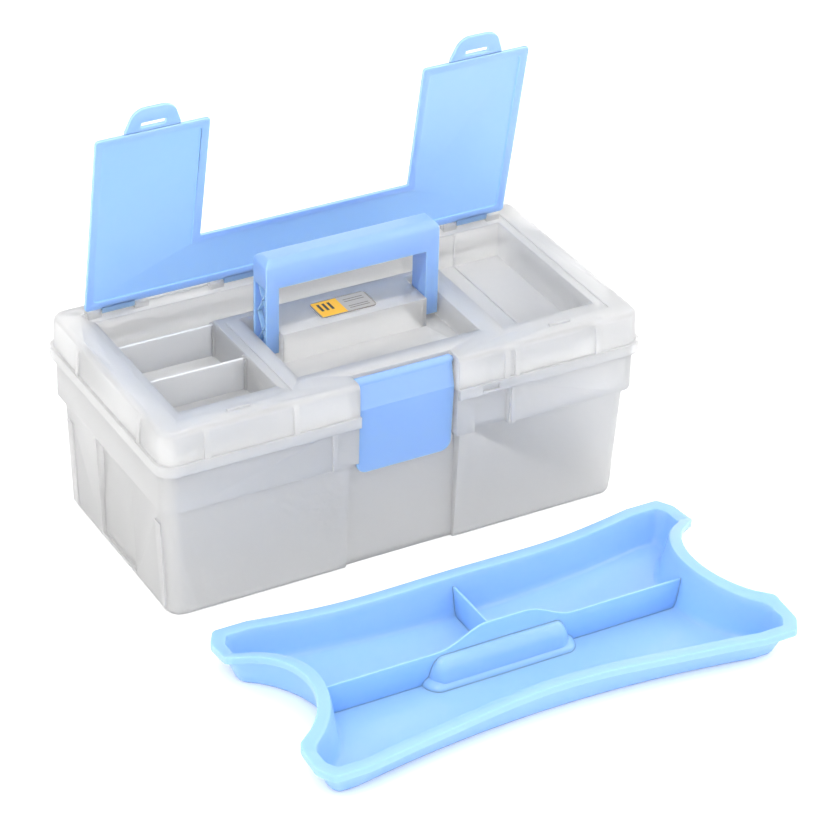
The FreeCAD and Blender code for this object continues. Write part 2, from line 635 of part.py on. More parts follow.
def tray():
    high = "tray_tall + rim_rise + 1"
    outside = tray_shape("tray_outside", "flange", ("0", high))
    zone = fuse("tray_zone",
                box("tray_low", both("tray_hl"), both("tray_hd"), ("0", "tray_tall - flange_thick/2")),
                rod("tray_arch", both("tray_hl"), "0", "arch_z", "arch_radius - flange_thick/2"))
    walls = fuse("tray_walls", common("tray_body", outside, zone), tray_flange())
    inside = tray_shape("tray_inside", "flange + tray_wall", ("tray_floor", high))
    return fuse("tray", cut("tray_shell", walls, inside), tray_ribs())


node("lift_out_tray", move(tray(), "0", "tray_y", "0"))

# ---- every object is checked before any file is written ----
doc.recompute()
for thing in doc.Objects:
    if "Invalid" in thing.State or "Error" in thing.State:
        raise RuntimeError("%s failed: %s" % (thing.Name, thing.State))
for thing in NODES:
    if thing.Shape.isNull() or not thing.Shape.isValid():
        raise RuntimeError("%s has no valid shape" % thing.Label)
    if len(thing.Shape.Solids) != 1:
        raise RuntimeError("%s is %d solids" % (thing.Label, len(thing.Shape.Solids)))

os.makedirs("parts", exist_ok=True)
for thing in NODES:
    thing.Shape.exportStep("parts/%s.step" % thing.Label)
    bounds = thing.Shape.BoundBox
    print("%-18s volume %9.0f  x %7.1f %7.1f  y %7.1f %7.1f  z %6.1f %6.1f" % (
        thing.Label, thing.Shape.Volume, bounds.XMin, bounds.XMax, bounds.YMin, bounds.YMax,
        bounds.ZMin, bounds.ZMax))
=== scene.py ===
import math
import bmesh
import bpy
from mathutils import Matrix, Vector


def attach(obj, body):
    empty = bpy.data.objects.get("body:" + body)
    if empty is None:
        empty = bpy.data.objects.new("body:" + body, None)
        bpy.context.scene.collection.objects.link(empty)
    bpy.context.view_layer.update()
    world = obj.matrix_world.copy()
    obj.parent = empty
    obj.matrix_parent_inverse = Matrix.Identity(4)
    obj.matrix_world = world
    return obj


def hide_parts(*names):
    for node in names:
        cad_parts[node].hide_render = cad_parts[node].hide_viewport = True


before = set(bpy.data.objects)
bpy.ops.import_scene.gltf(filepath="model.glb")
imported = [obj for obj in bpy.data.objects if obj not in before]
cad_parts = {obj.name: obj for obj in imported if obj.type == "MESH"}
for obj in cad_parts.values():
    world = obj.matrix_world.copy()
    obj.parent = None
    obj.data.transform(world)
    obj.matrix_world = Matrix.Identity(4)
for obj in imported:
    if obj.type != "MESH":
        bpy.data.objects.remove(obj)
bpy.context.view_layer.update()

mm = 0.001
bpy.ops.object.select_all(action='DESELECT')


# materials

def linearColour(hexCode, alpha=1.0):
    # sRGB hex to the linear values that the shader wants
    channels = [int(hexCode[i:i + 2], 16) / 255 for i in (1, 3, 5)]
    return [c / 12.92 if c <= 0.04045 else ((c + 0.055) / 1.055) ** 2.4 for c in channels] + [alpha]


def addNode(tree, kind, settings=None, links=None):
    # settings go to properties or input sockets; links are socket -> (node, output)
    node = tree.nodes.new(kind)
    for key, value in (settings or {}).items():
        if isinstance(key, str) and hasattr(node, key):
            setattr(node, key, value)
        else:
            node.inputs[key].default_value = value
    for key, (source, output) in (links or {}).items():
        tree.links.new(source.outputs[output], node.inputs[key])
    return node


def newMaterial(name):
    material = bpy.data.materials.new(name)
    material.use_nodes = True
    tree = material.node_tree
    tree.nodes.clear()
    place = addNode(tree, 'ShaderNodeTexCoord')
    shader = addNode(tree, 'ShaderNodeBsdfPrincipled')
    addNode(tree, 'ShaderNodeOutputMaterial', links={'Surface': (shader, 'BSDF')})
    return material, tree, place, shader


def mouldedPolypropylene(name, look):
    # injection-moulded polypropylene: milky body, satin grain from a spark-eroded mould
    material, tree, place, shader = newMaterial(name)
    cloud = addNode(tree, 'ShaderNodeTexNoise', {'Scale': 1 / (look['cloudSize'] * mm), 'Detail': 2.0},
                    {'Vector': (place, 'Object')})
    tint = addNode(tree, 'ShaderNodeMix', {'data_type': 'RGBA', 6: linearColour(look['light']),
                                           7: linearColour(look['shade'])}, {0: (cloud, 'Fac')})
    tree.links.new(tint.outputs[2], shader.inputs['Base Color'])
    grain = addNode(tree, 'ShaderNodeTexNoise', {'Scale': 1 / (look['grainSize'] * mm), 'Detail': 3.0},
                    {'Vector': (place, 'Object')})
    bump = addNode(tree, 'ShaderNodeBump', {'Strength': 0.3, 'Distance': look['grainDepth'] * mm},
                   {'Height': (grain, 'Fac')})
    tree.links.new(bump.outputs['Normal'], shader.inputs['Normal'])
    spread = look['roughSpread']
    rough = addNode(tree, 'ShaderNodeMapRange', {'To Min': look['roughness'] - spread,
                                                 'To Max': look['roughness'] + spread},
                    {'Value': (cloud, 'Fac')})
    tree.links.new(rough.outputs['Result'], shader.inputs['Roughness'])
    shader.inputs['IOR'].default_value = look['ior']
    shader.inputs['Transmission Weight'].default_value = look['transmission']
    shader.inputs['Subsurface Weight'].default_value = look['scatter']
    shader.inputs['Subsurface Radius'].default_value = (1, 1, 1)
    shader.inputs['Subsurface Scale'].default_value = look['scatterDepth'] * mm
    return material


# natural polypropylene: neutral, milky, see-through enough to blur what lies behind it
naturalLook = {'light': '#FFFFFF', 'shade': '#FBFAF9', 'transmission': 0.68, 'roughness': 0.33,
               'scatter': 1.0, 'scatterDepth': 6.0, 'ior': 1.49,
               'cloudSize': 60.0, 'roughSpread': 0.04, 'grainSize': 0.8, 'grainDepth': 0.04}
# a whiter, much less see-through copy of the same resin for the edge rounds: a painted highlight along
# every softened edge
highlightLook = dict(naturalLook, shade='#FFFFFF', transmission=0.15, roughness=0.32)
# the same resin with a light blue masterbatch, much less see-through, and glossier in the tray
blueLook = dict(naturalLook, light='#9FC4F8', shade='#99BEF4', transmission=0.3, roughness=0.33,
                scatterDepth=3.0, grainDepth=0.02)
# a lighter, less see-through copy of the blue for the edge rounds: a painted highlight along the edges
blueHighlightLook = dict(blueLook, light='#A4CBFB', shade='#9EC5F8', transmission=0.1)
trayLook = dict(blueLook, light='#9DC6FA', shade='#96C1F6', transmission=0.12, roughness=0.22)

natural = mouldedPolypropylene('naturalPolypropylene', naturalLook)
# the two edge copies are lighter than their resin: they paint highlights on the edge rounds
naturalHighlight = mouldedPolypropylene('naturalPolypropyleneHighlight', highlightLook)
blue = mouldedPolypropylene('bluePolypropylene', blueLook)
blueHighlight = mouldedPolypropylene('bluePolypropyleneHighlight', blueHighlightLook)
trayBlue = mouldedPolypropylene('blueTrayPolypropylene', trayLook)


# ways of working

def setMaterials(thing, *materials):
    thing.data.materials.clear()
    for material in materials:
        thing.data.materials.append(material)


def makeActive(*things):
    bpy.ops.object.select_all(action='DESELECT')
    for thing in things:
        thing.select_set(True)
    bpy.context.view_layer.objects.active = things[0]


def openMesh(thing):
    makeActive(thing)
    bpy.ops.object.mode_set(mode='EDIT')
    bpy.ops.mesh.select_all(action='DESELECT')
    return bmesh.from_edit_mesh(thing.data)


def closeMesh(thing):
    bmesh.update_edit_mesh(thing.data)
    bpy.ops.object.mode_set(mode='OBJECT')
    return thing


def applyModifier(thing, kind, **settings):
    makeActive(thing)
    modifier = thing.modifiers.new(kind.lower(), kind)
    for key, value in settings.items():
        setattr(modifier, key, value)
    bpy.ops.object.modifier_apply(modifier=modifier.name)


def softenEdges(thing, width, segments=2, angle=32.0, slot=-1):
    # a small round on every sharp edge; its faces can take a second material, the lighter copy that
    # paints a highlight along the edge
    applyModifier(thing, 'BEVEL', width=width * mm, segments=segments, limit_method='ANGLE',
                  angle_limit=math.radians(angle), material=slot, use_clamp_overlap=True,
                  miter_outer='MITER_ARC')


def roundUprights(thing, radius, segments, wanted=None):
    # rounds the edges that stand along Z, or only those at a wanted x and y in millimetres
    openMesh(thing)
    bpy.ops.mesh.select_mode(type='EDGE')
    form = bmesh.from_edit_mesh(thing.data)
    for edge in form.edges:
        first, second = (vert.co for vert in edge.verts)
        upright = abs(first.z - second.z) > 0.1 * mm
        if upright and (wanted is None or wanted(first.x / mm, first.y / mm)):
            edge.select_set(True)
    bpy.ops.mesh.bevel(offset=radius * mm, segments=segments)
    bpy.ops.mesh.select_mode(type='VERT')
    return closeMesh(thing)


def smooth(thing, angle=35.0):
    makeActive(thing)
    bpy.ops.object.shade_smooth_by_angle(angle=math.radians(angle))


def addBlock(name, x, y, z):
    # x, y and z are ranges in millimetres
    centre = [(low + high) / 2 * mm for low, high in (x, y, z)]
    bpy.ops.mesh.primitive_cube_add(size=1, location=centre)
    thing = bpy.context.object
    thing.name = name
    thing.scale = [(high - low) * mm for low, high in (x, y, z)]
    bpy.ops.object.transform_apply(location=True, rotation=True, scale=True)
    return thing


def addRod(name, x, centre, radius, sides=24):
    # a round bar along X
    middle = ((x[0] + x[1]) / 2 * mm, centre[0] * mm, centre[1] * mm)
    bpy.ops.mesh.primitive_cylinder_add(vertices=sides, radius=radius * mm, depth=(x[1] - x[0]) * mm,
                                        location=middle, rotation=(0, math.pi / 2, 0))
    thing = bpy.context.object
    thing.name = name
    bpy.ops.object.transform_apply(location=True, rotation=True, scale=True)
    return thing


def addPrism(name, outline, low, high, axis):
    # a flat outline (millimetres) drawn across an axis and extruded along it
    bpy.ops.mesh.primitive_circle_add(vertices=len(outline), radius=1, fill_type='NGON')
    thing = bpy.context.object
    thing.name = name
    form = openMesh(thing)
    form.verts.ensure_lookup_table()
    for vert, (u, v) in zip(form.verts, outline):
        place = {'X': (low, u, v), 'Y': (u, low, v), 'Z': (u, v, low)}[axis]
        vert.co = Vector(place) * mm
    bmesh.update_edit_mesh(thing.data)
    bpy.ops.mesh.select_all(action='SELECT')
    along = Vector([high - low if axis == name else 0 for name in 'XYZ']) * mm
    bpy.ops.mesh.extrude_region_move(TRANSFORM_OT_translate={'value': along})
    bpy.ops.mesh.select_all(action='SELECT')
    bpy.ops.mesh.normals_make_consistent(inside=False)
    return closeMesh(thing)


def carve(thing, *cutters, operation='DIFFERENCE'):
    for cutter in cutters:
        applyModifier(thing, 'BOOLEAN', object=cutter, operation=operation, solver='EXACT')
        bpy.data.objects.remove(cutter)


def join(*things):
    makeActive(*things)
    bpy.ops.object.join()
    return things[0]


def copyNode(name, node, ringed=False):
    # the CAD shape as a mesh to work on: doubles merged, flat faces whole again;
    # a ringed shape has flat faces with holes in them, which can only be made quads
    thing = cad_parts[node].copy()
    thing.data = thing.data.copy()
    thing.name = name
    bpy.context.scene.collection.objects.link(thing)
    openMesh(thing)
    bpy.ops.mesh.select_all(action='SELECT')
    bpy.ops.mesh.remove_doubles(threshold=0.01 * mm)
    if ringed:
        bpy.ops.mesh.tris_convert_to_quads(face_threshold=math.radians(1.0),
                                           shape_threshold=math.radians(180))
    else:
        bpy.ops.mesh.dissolve_limited(angle_limit=math.radians(1.0))
    return closeMesh(thing)


def finishPiece(thing, body, *nodes):
    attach(thing, body)
    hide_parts(*nodes)
    print('finished', thing.name, len(thing.data.polygons), 'faces')


# base: drafted box with collar, ribs and corner pads

baseShape = {'edge': 0.8, 'leftRibX': -50.0, 'rightRibX': 72.0, 'ribHalf': 1.6, 'ribProud': 1.5,
             'collarY': -80.6, 'collarZ': (78.5, 105.0), 'padFoot': 154.6, 'padHead': 157.2,
             'padZ': (3.5, 64.0), 'padY': (59.0, 66.5), 'padProud': 0.9, 'sink': 1.0}


def collarRib(x):
    s = baseShape
    return addBlock('collarRib', (x - s['ribHalf'], x + s['ribHalf']),
                    (s['collarY'] - s['ribProud'], s['collarY'] + s['sink']), s['collarZ'])


def cornerPad(side, end):
    # a shallow pad on an end wall, which leans out with the wall
    s = baseShape
    foot, head, out, sink = s['padFoot'], s['padHead'], s['padProud'], s['sink']
    low, high = s['padZ']
    outline = [(side * (foot - sink), low), (side * (foot + out), low),
               (side * (head + out), high), (side * (head - sink), high)]
    span = sorted((end * s['padY'][0], end * s['padY'][1]))
    return addPrism('cornerPad', outline, span[0], span[1], 'Y')


def makeBase():
    s = baseShape
    base = copyNode('base', 'base_box')
    setMaterials(base, natural, naturalHighlight)
    pads = [cornerPad(side, end) for side in (-1, 1) for end in (-1, 1)]
    carve(base, collarRib(s['leftRibX']), *pads, collarRib(s['rightRibX']), operation='UNION')
    softenEdges(base, s['edge'], slot=1)
    smooth(base)
    finishPiece(base, 'base', 'base_box')


# lid

lidShape = {'edge': 0.8, 'wallY': 81.6, 'wallX': 162.3, 'rimZ': 112.2, 'topZ': 133.0, 'ribHalf': 1.9,
            'ribProud': 1.3, 'frontRibs': (-134.0, -75.8, 66.6, 73.7, 130.8),
            'rearRibs': (-134.0, -66.6, 66.6, 134.0), 'endRibs': (-49.5, 36.8),
            'bayRibX': 109.0, 'bayRibHalf': 0.9, 'bayRibProud': 0.9, 'bayZ': (108.0, 131.0),
            'bayY': (-57.5, 57.7), 'sink': 1.0}


def lidRib(wall, at, axis, side):
    # an upright rib that leans back over the lid's rounded top edge
    s = lidShape
    out, top = wall + s['ribProud'], s['topZ']
    profile = [(wall - 2, s['rimZ']), (out, s['rimZ']), (out - 0.7, top - 5.5), (out - 2.6, top - 1.6),
               (wall - 5.0, top + 0.15), (wall - 5.5, top - 1)]
    outline = [(side * u, v) for u, v in profile]
    return addPrism('lidRib', outline, at - s['ribHalf'], at + s['ribHalf'], axis)


def makeLid():
    lid = copyNode('lidShell', 'lid', ringed=True)
    setMaterials(lid, natural, naturalHighlight)
    s = lidShape
    ribs = [lidRib(s['wallY'], x, 'X', -1) for x in s['frontRibs']]
    ribs += [lidRib(s['wallY'], x, 'X', 1) for x in s['rearRibs']]
    for side in (-1, 1):
        ribs += [lidRib(s['wallX'], y, 'Y', side) for y in s['endRibs']]
    # one low rib runs along the right bay's floor and up its back wall
    (front, back), (low, high) = s['bayY'], s['bayZ']
    proud, sink = s['bayRibProud'], s['sink']
    across = (s['bayRibX'] - s['bayRibHalf'], s['bayRibX'] + s['bayRibHalf'])
    ribs.append(addBlock('bayRib', across, (front - sink, back + sink), (low - sink, low + proud)))
    ribs.append(addBlock('bayRib', across, (back - proud, back + sink), (low, high)))
    carve(lid, *ribs, operation='UNION')
    softenEdges(lid, s['edge'], slot=1)
    smooth(lid)
    finishPiece(lid, 'lid', 'lid')


dividerShape = {'edge': 0.68, 'edgeSteps': 3}


def makeDividers():
    for place in ('front', 'back'):
        divider = copyNode(place + 'Divider', 'divider_' + place)
        setMaterials(divider, natural, naturalHighlight)
        softenEdges(divider, dividerShape['edge'], segments=dividerShape['edgeSteps'], slot=1)
        smooth(divider)
        finishPiece(divider, 'divider_' + place, 'divider_' + place)


# handle and latch

handleShape = {'edge': 0.8, 'ribX': (53.7, 57.2), 'halfDeep': 6.7, 'low': 124.0, 'high': 166.0,
               'cells': 2, 'ribThick': 1.2}


def makeHandle():
    s = handleShape
    handle = copyNode('handle', 'carry_handle')
    setMaterials(handle, blue, blueHighlight)
    softenEdges(handle, s['edge'], slot=1)
    # crossed ribs brace the channel in each leg
    ribs = []
    rise = (s['high'] - s['low']) / s['cells']
    half, thick = s['halfDeep'], s['ribThick'] / 2
    for side in (-1, 1):
        reach = sorted(side * x for x in s['ribX'])
        for cell in range(s['cells']):
            foot = s['low'] + cell * rise
            for lean in (-1, 1):
                outline = [(-half * lean, foot - thick), (half * lean, foot + rise - thick),
                           (half * lean, foot + rise + thick), (-half * lean, foot + thick)]
                ribs.append(addPrism('handleRib', outline, reach[0], reach[1], 'X'))
    # the ribs take the lighter edge copy all over: a painted highlight on the crossed ribs
    for rib in ribs:
        setMaterials(rib, blueHighlight, blueHighlight)
    handle = join(handle, *ribs)
    smooth(handle)
    finishPiece(handle, 'handle', 'carry_handle')


# crease is the angle above which an edge stays crisp
latchShape = {'edge': 0.6, 'crease': 9.0}


def makeLatch():
    latch = copyNode('latch', 'front_latch')
    setMaterials(latch, blue, blueHighlight)
    softenEdges(latch, latchShape['edge'], slot=1)
    smooth(latch, latchShape['crease'])
    finishPiece(latch, 'latch', 'front_latch')


# organiser cover: a U plate with a stepped border, drawn shut about its hinge, then opened

coverShape = {'hinge': (65.0, 135.0), 'open': 79.4, 'outX': 146.0, 'inX': 71.65, 'legEnd': 131.6,
              'cross': 43.0, 'edgeY': 3.6, 'low': -2.85, 'thick': 2.0, 'border': 5.6, 'step': 0.9,
              'edge': 0.45, 'corner': 2.5, 'tabX': 108.7, 'tabFoot': 18.2, 'tabHead': 12.6,
              'tabEnd': 148.0, 'tabLift': 1.0, 'tabRound': 6.5, 'tabFlare': 1.5, 'tabSink': 2.0,
              'slotY': 136.0, 'slotLong': 15.6, 'slotWide': 3.0,
              'barrel': 2.1, 'pin': 1.3, 'pinOut': 4.5, 'tongueSink': 1.0,
              'tongues': ((-134.2, -112.8), (-52.0, 52.0), (112.8, 134.2))}


def coverPlate(name, grow, z):
    # the U outline, grown or shrunk all round
    c = coverShape
    out, inside = c['outX'] + grow, c['inX'] - grow
    front, cross, back = -c['legEnd'] - grow, -c['cross'] - grow, -c['edgeY'] + grow
    outline = [(-out, front), (-inside, front), (-inside, cross), (inside, cross), (inside, front),
               (out, front), (out, back), (-out, back)]
    plate = addPrism(name, outline, z[0], z[1], 'Z')
    # the two corners inside the U stay sharp, to clear the step they close on
    return roundUprights(plate, c['corner'], segments=5, wanted=lambda x, y: abs(y - cross) > 1)


def coverTab(side):
    # a snap tab on a leg's end, with a slot across it
    c = coverShape
    x, low = side * c['tabX'], c['low'] + c['tabLift']
    high = low + c['thick']
    root, flare, tip = -c['legEnd'] + c['tabSink'], -c['legEnd'] - c['tabFlare'], -c['tabEnd']
    outline = [(x - c['tabFoot'], root), (x - c['tabFoot'], flare), (x - c['tabHead'], tip),
               (x + c['tabHead'], tip), (x + c['tabFoot'], flare), (x + c['tabFoot'], root)]
    tab = addPrism('tab', outline, low, high, 'Z')
    roundUprights(tab, c['tabRound'], segments=8, wanted=lambda x, y: y < tip + 1)
    halfLong, halfWide = c['slotLong'] / 2, c['slotWide'] / 2
    carve(tab, addBlock('slot', (x - halfLong, x + halfLong),
                        (-c['slotY'] - halfWide, -c['slotY'] + halfWide), (low - 1, high + 1)))
    return tab


def makeCover():
    c = coverShape
    top = c['low'] + c['thick']
    plate = coverPlate('organiserCover', 0, (c['low'], top))
    carve(plate, coverPlate('panelStep', -c['border'], (c['low'] - 1, c['low'] + c['step'])))
    parts = [coverTab(-1), coverTab(1)]
    for low, high in c['tongues']:
        parts.append(addBlock('tongue', (low, high), (-c['edgeY'] - c['tongueSink'], 0), (c['low'], top)))
        parts.append(addRod('barrel', (low, high), (0, 0), c['barrel']))
        parts.append(addRod('pin', (low - c['pinOut'], high + c['pinOut']), (0, 0), c['pin']))
    for part in [plate] + parts:
        setMaterials(part, blue, blueHighlight)
    for part in [plate] + parts[:2]:
        softenEdges(part, c['edge'], slot=1)
    cover = join(plate, *parts)
    makeActive(cover)
    cover.rotation_euler = (math.radians(-c['open']), 0, 0)
    cover.location = (0, c['hinge'][0] * mm, c['hinge'][1] * mm)
    bpy.ops.object.transform_apply(location=True, rotation=True, scale=True)
    smooth(cover)
    finishPiece(cover, 'cover', 'organiser_cover')


# tray: outlines at rising levels, inset by the wall, joined by extruding

trayShape = {'centreY': -201.3, 'halfLong': 159.0, 'halfDeep': 77.2, 'top': 23.0, 'taper': 0.26,
             'flange': 6.0, 'wall': 1.8, 'floor': 1.8, 'lip': 5.2,
             'bow': 12.5, 'bowHalf': 130.0, 'bowStop': 14.0, 'bowSteps': 20,
             'scoopOut': 21.5, 'scoopRadius': 50.0, 'scoopStop': 7.0, 'scoopSteps': 11,
             'rise': 9.5, 'riseReach': 52.0, 'riseFrom': 100.0, 'risePower': 0.8,
             'crown': 3.6, 'crownReach': 95.0,
             'rib': 1.5, 'ribEdge': 0.35, 'ribTop': 21.8, 'ribFoot': 1.0, 'ribSink': 0.5,
             'humpTop': 33.2, 'humpFlat': 12.0, 'humpFoot': 46.0, 'humpSteps': 36,
             'crossX': -3.5, 'crossTop': 20.5,
             'gripX': (-52.0, 42.0), 'gripEnd': 9.0, 'gripTop': 19.5, 'gripReach': 9.5,
             'gripSink': 0.6, 'gripEdge': 1.6, 'footReach': 11.8, 'footTop': 7.5, 'footLonger': 4.0}


def softCorner(before, corner, after, reach, steps=5):
    # a short curve in place of a sharp corner
    start = corner + (before - corner).normalized() * reach
    end = corner + (after - corner).normalized() * reach
    fractions = [k / steps for k in range(steps + 1)]
    return [start * (1 - t) ** 2 + corner * 2 * t * (1 - t) + end * t ** 2 for t in fractions]


def trayOutline(inset):
    t = trayShape
    bowRadius = (t['bowHalf'] ** 2 + t['bow'] ** 2) / (2 * t['bow'])
    bowCentre = t['halfDeep'] - t['bow'] + bowRadius
    scoopCentre, scoopRadius = t['halfLong'] + t['scoopOut'], t['scoopRadius'] + inset

    def side(x):
        # straight near the ends, bowed inwards between them
        bowed = bowCentre - math.sqrt((bowRadius + inset) ** 2 - x * x)
        return Vector((x, min(bowed, t['halfDeep'] - inset)))

    def scoop(y):
        return Vector((scoopCentre - math.sqrt(scoopRadius ** 2 - y * y), y))

    # the end of a straight is cut off at a slant, by less the further in the outline lies
    tip = t['halfLong'] - inset
    cutLong, cutDeep = max(2.5, 6.5 - 0.3 * inset), max(3.5, 10.5 - 0.5 * inset)
    shoulder = side(tip - cutLong)
    point = Vector((tip, side(tip).y - cutDeep))
    cusp = Vector((tip, math.sqrt(scoopRadius ** 2 - (t['scoopOut'] + inset) ** 2)))
    bowSteps, scoopSteps = t['bowSteps'], t['scoopSteps']
    long = [side((tip - t['bowStop']) * k / bowSteps) for k in range(bowSteps + 1)]
    end = [scoop((cusp.y - t['scoopStop']) * (1 - k / scoopSteps)) for k in range(scoopSteps + 1)]
    quarter = long + softCorner(long[-1], shoulder, point, 2.2)
    quarter += softCorner(shoulder, point, cusp, min(2.5, (point - cusp).length * 0.4))
    quarter += softCorner(point, cusp, end[0], min(3.5, (point - cusp).length * 0.5)) + end
    loop = []
    for sx, sy in ((1, 1), (1, -1), (-1, -1), (-1, 1)):
        turned = [Vector((p.x * sx, p.y * sy)) for p in quarter]
        loop += turned[:-1] if sx * sy > 0 else turned[:0:-1]
    return loop


def lipHeight(place):
    # the rim arches up over each scooped end, and a little along the middle of each side
    t = trayShape
    if abs(place.x) > t['riseFrom'] and abs(place.y) < t['riseReach']:
        return t['rise'] * (1 - (place.y / t['riseReach']) ** 2) ** t['risePower']
    away = min(1.0, abs(place.x) / t['crownReach'])
    return t['crown'] * (0.5 + 0.5 * math.cos(math.pi * away))


def makeTrayBowl():
    t = trayShape
    foot = t['flange'] + t['taper'] * t['top']
    under, top = t['top'] - t['lip'], t['top']
    inner = t['flange'] + t['wall']
    floorInset = inner + t['taper'] * (t['top'] - t['floor'])
    # inset, height, and whether the height follows the arched rim
    levels = [(foot + 2.2, 0, 0), (foot + 0.7, 0.5, 0), (foot - 0.3, 2.0, 0),
              (t['flange'] + 1.5, under - 5, 1), (t['flange'] + 0.5, under - 0.9, 1),
              (t['flange'] - 0.6, under, 1), (0.5, under, 1), (0, under + 0.5, 1), (0, top - 0.7, 1),
              (0.25, top - 0.2, 1), (0.8, top, 1), (t['flange'] + 0.4, top, 1),
              (inner - 0.4, top - 0.35, 1), (inner, top - 1.1, 1), (inner + 1.2, top - 5.5, 1),
              (floorInset - 1.1, t['floor'] + 4.5, 0), (floorInset - 0.1, t['floor'] + 1.6, 0),
              (floorInset + 1.0, t['floor'] + 0.4, 0), (floorInset + 2.6, t['floor'], 0)]
    count = len(trayOutline(0))
    bpy.ops.mesh.primitive_circle_add(vertices=count, radius=1, fill_type='NOTHING')
    tray = bpy.context.object
    tray.name = 'liftOutTray'
    form = openMesh(tray)
    ring = sorted(form.verts, key=lambda vert: vert.index)
    for number, (inset, height, arched) in enumerate(levels):
        if number:
            bpy.ops.mesh.select_all(action='DESELECT')
            for vert in ring:
                vert.select_set(True)
            form.select_flush_mode()
            for edge in form.edges:
                edge.select_set(edge.verts[0] in ringSet and edge.verts[1] in ringSet)
            bpy.ops.mesh.extrude_edges_move()
            form = bmesh.from_edit_mesh(tray.data)
            ring = [next(edge.other_vert(vert) for edge in vert.link_edges
                         if edge.other_vert(vert).select) for vert in ring]
        ringSet = set(ring)
        for vert, place in zip(ring, trayOutline(inset)):
            lift = lipHeight(place) if arched else 0.0
            vert.co = Vector((place.x, place.y + t['centreY'], height + lift)) * mm
        if number == 0:
            for vert in ring:
                vert.select_set(True)
            form.select_flush_mode()
            bpy.ops.mesh.edge_face_add()
            form = bmesh.from_edit_mesh(tray.data)
    bpy.ops.mesh.edge_face_add()
    bpy.ops.mesh.select_all(action='SELECT')
    bpy.ops.mesh.normals_make_consistent(inside=False)
    return closeMesh(tray)


def humpHeight(x):
    t = trayShape
    away = min(1.0, max(0.0, (abs(x) - t['humpFlat']) / (t['humpFoot'] - t['humpFlat'])))
    return t['ribTop'] + (t['humpTop'] - t['ribTop']) * (0.5 + 0.5 * math.cos(math.pi * away))


def makeTrayRibs():
    # a long rib with a hump in its middle, and a cross rib from it to the rear wall
    t = trayShape
    inner = t['flange'] + t['wall'] - t['ribSink']
    reach = t['halfLong'] + t['scoopOut'] - t['scoopRadius'] - inner
    lean = t['taper'] * (t['ribTop'] - t['floor'])
    foot, half, steps = t['ribFoot'], t['rib'] / 2, t['humpSteps']
    hump = [t['humpFoot'] * (1 - 2 * k / steps) for k in range(steps + 1)]
    outline = [(-reach + lean, foot), (reach - lean, foot), (reach, t['ribTop'])]
    outline += [(x, humpHeight(x)) for x in hump] + [(-reach, t['ribTop'])]
    y = t['centreY']
    ribs = [addPrism('longRib', outline, y - half, y + half, 'Y')]
    wall = t['halfDeep'] - t['bow'] - inner
    outline = [(y, foot), (y + wall - lean, foot), (y + wall, t['crossTop']), (y, t['crossTop'])]
    ribs.append(addPrism('crossRib', outline, t['crossX'] - half, t['crossX'] + half, 'X'))
    for rib in ribs:
        softenEdges(rib, t['ribEdge'])
    return ribs


def gripLump(name, reach, top, longer):
    # a ball pulled out along X into a capsule, then cut off at the rib
    t = trayShape
    low, high = t['gripX'][0] - longer, t['gripX'][1] + longer
    bpy.ops.mesh.primitive_uv_sphere_add(segments=48, ring_count=24, radius=1,
                                         rotation=(0, math.pi / 2, 0))
    lump = bpy.context.object
    lump.name = name
    bpy.ops.object.transform_apply(location=True, rotation=True, scale=True)
    form = openMesh(lump)
    middle, sunk = t['centreY'], t['floor'] - t['gripSink']
    for vert in form.verts:
        x, y, z = vert.co
        end = low + t['gripEnd'] if x < 0 else high - t['gripEnd']
        along = (low + high) / 2 if abs(x) < 0.01 else end + x * t['gripEnd']
        vert.co = Vector((along, middle + y * reach, sunk + z * (top - sunk))) * mm
    closeMesh(lump)
    past = (low - 9, high + 9)
    carve(lump, addBlock('gripBack', past, (middle, middle + 40), (-40, 60)),
          addBlock('gripUnder', past, (middle - 40, middle + 40), (-40, sunk)))
    return lump


def makeGrip():
    # a half-round finger lip with rounded ends, standing on a wider foot
    t = trayShape
    grip = gripLump('fingerGrip', t['gripReach'], t['gripTop'], 0)
    carve(grip, gripLump('gripFoot', t['footReach'], t['footTop'], t['footLonger']), operation='UNION')
    softenEdges(grip, t['gripEdge'], segments=3, angle=30)
    return grip


def makeTray():
    tray = makeTrayBowl()
    tray = join(tray, *makeTrayRibs(), makeGrip())
    setMaterials(tray, trayBlue)
    smooth(tray, angle=40)
    finishPiece(tray, 'tray', 'lift_out_tray')


# label: plain two-colour foil with bars, no lettering

labelShape = {'x': 19.0, 'y': (-5.2, 13.8), 'z': (135.5, 135.8), 'corner': 3.0,
              'rim': 0.8, 'bars': (-15.5, -12.0, -8.5), 'barWide': 1.8, 'barY': (2.0, 10.5),
              'lines': (8.6, 6.2, 0.6, -1.6), 'lineWide': 0.7, 'lineX': (2.0, 15.5),
              'roughness': 0.35, 'metallic': 0.15}


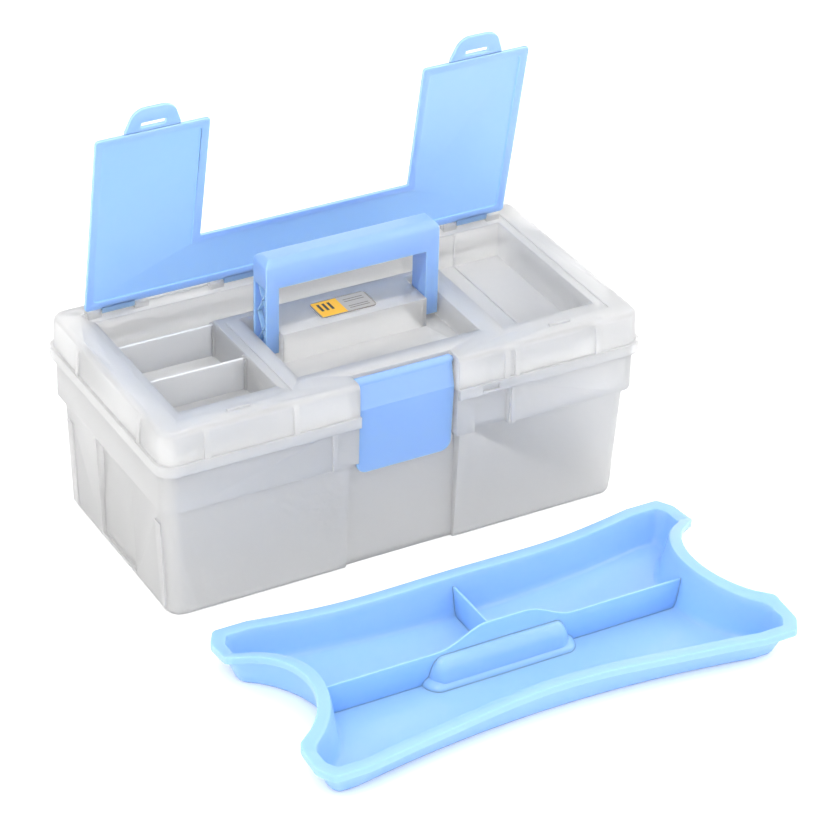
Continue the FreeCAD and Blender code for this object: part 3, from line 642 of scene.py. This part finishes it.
def makeLabel():
    s = labelShape
    label = addBlock('foilLabel', (-s['x'], s['x']), s['y'], s['z'])
    roundUprights(label, s['corner'], segments=6)
    material, tree, place, shader = newMaterial('printedFoil')
    split = addNode(tree, 'ShaderNodeSeparateXYZ', links={'Vector': (place, 'Object')})

    # each mark is painted over the ones before it: a colour and its reach along X and Y
    rim, (front, back) = s['rim'], s['y']
    marks = [('#B3ADA3', (rim - s['x'], s['x'] - rim), (front + rim, back - rim)),
             ('#F5B81C', (rim - s['x'], -1.0), (front + rim, back - rim))]
    marks += [('#3B352B', (x, x + s['barWide']), s['barY']) for x in s['bars']]
    marks += [('#6E675C', s['lineX'], (y, y + s['lineWide'])) for y in s['lines']]
    tint = None
    for colour, x, y in marks:
        within = [addNode(tree, 'ShaderNodeMath', {'operation': 'COMPARE', 1: (low + high) / 2 * mm,
                                                   2: (high - low) / 2 * mm}, {0: (split, axis)})
                  for axis, (low, high) in (('X', x), ('Y', y))]
        mask = addNode(tree, 'ShaderNodeMath', {'operation': 'MULTIPLY'},
                       {0: (within[0], 'Value'), 1: (within[1], 'Value')})
        links = {0: (mask, 'Value')}
        if tint:
            links[6] = (tint, 2)
        tint = addNode(tree, 'ShaderNodeMix', {'data_type': 'RGBA', 6: linearColour('#8A8378'),
                                               7: linearColour(colour)}, links)
    tree.links.new(tint.outputs[2], shader.inputs['Base Color'])
    shader.inputs['Roughness'].default_value = s['roughness']
    shader.inputs['Metallic'].default_value = s['metallic']
    setMaterials(label, material)
    smooth(label)
    finishPiece(label, 'lid', 'maker_label')


makeBase()
makeLid()
makeDividers()
makeHandle()
makeLatch()
makeCover()
makeTray()
makeLabel()


# floor, light and camera

room = {'floorSize': 12.0, 'floorColour': '#FFFFFF', 'floorRoughness': 0.9, 'worldStrength': 1.5,
        'aim': (0, -0.08, 0.08), 'keyPlace': (-0.9, -1.2, 1.8), 'keySize': 1.0, 'keyPower': 12,
        'fillPlace': (1.4, -0.6, 1.2), 'fillSize': 1.2, 'fillPower': 5}

bpy.ops.mesh.primitive_plane_add(size=room['floorSize'], location=(0, 0, -0.2 * mm))
floor = bpy.context.object
floor.name = 'floor'
floorMaterial, *_, floorShader = newMaterial('paperSweep')
floorShader.inputs['Base Color'].default_value = linearColour(room['floorColour'])
floorShader.inputs['Roughness'].default_value = room['floorRoughness']
setMaterials(floor, floorMaterial)

bpy.context.scene.view_settings.view_transform = 'Standard'
world = bpy.data.worlds.new('softbox')
world.use_nodes = True
world.node_tree.nodes['Background'].inputs['Color'].default_value = (1, 1, 1, 1)
world.node_tree.nodes['Background'].inputs['Strength'].default_value = room['worldStrength']
bpy.context.scene.world = world

view = {'azimuth': -29.78, 'elevation': 31.795, 'roll': 1.554, 'focal': 146.15,
        'target': (29.84, -35.51, 70.0), 'distance': 2072.2}


def placeCamera():
    azimuth, elevation = math.radians(view['azimuth']), math.radians(view['elevation'])
    back = Vector((math.sin(azimuth) * math.cos(elevation), -math.cos(azimuth) * math.cos(elevation),
                   math.sin(elevation)))
    data = bpy.data.cameras.new('camera')
    data.lens = view['focal']
    data.sensor_width = 36
    data.clip_end = 50
    camera = bpy.data.objects.new('camera', data)
    bpy.context.scene.collection.objects.link(camera)
    camera.location = (Vector(view['target']) + back * view['distance']) * mm
    turn = back.to_track_quat('Z', 'Y').to_matrix().to_4x4()
    turn = turn @ Matrix.Rotation(math.radians(view['roll']), 4, 'Z')
    camera.rotation_euler = turn.to_euler()
    bpy.context.scene.camera = camera


def addSoftbox(name, place, size, power):
    data = bpy.data.lights.new(name, 'AREA')
    data.size = size
    data.energy = power
    lamp = bpy.data.objects.new(name, data)
    bpy.context.scene.collection.objects.link(lamp)
    lamp.location = place
    aim = Vector(room['aim']) - Vector(place)
    lamp.rotation_euler = aim.to_track_quat('-Z', 'Y').to_euler()


placeCamera()
addSoftbox('keyLight', room['keyPlace'], room['keySize'], room['keyPower'])
addSoftbox('fillLight', room['fillPlace'], room['fillSize'], room['fillPower'])
print('stage, light and camera are set')
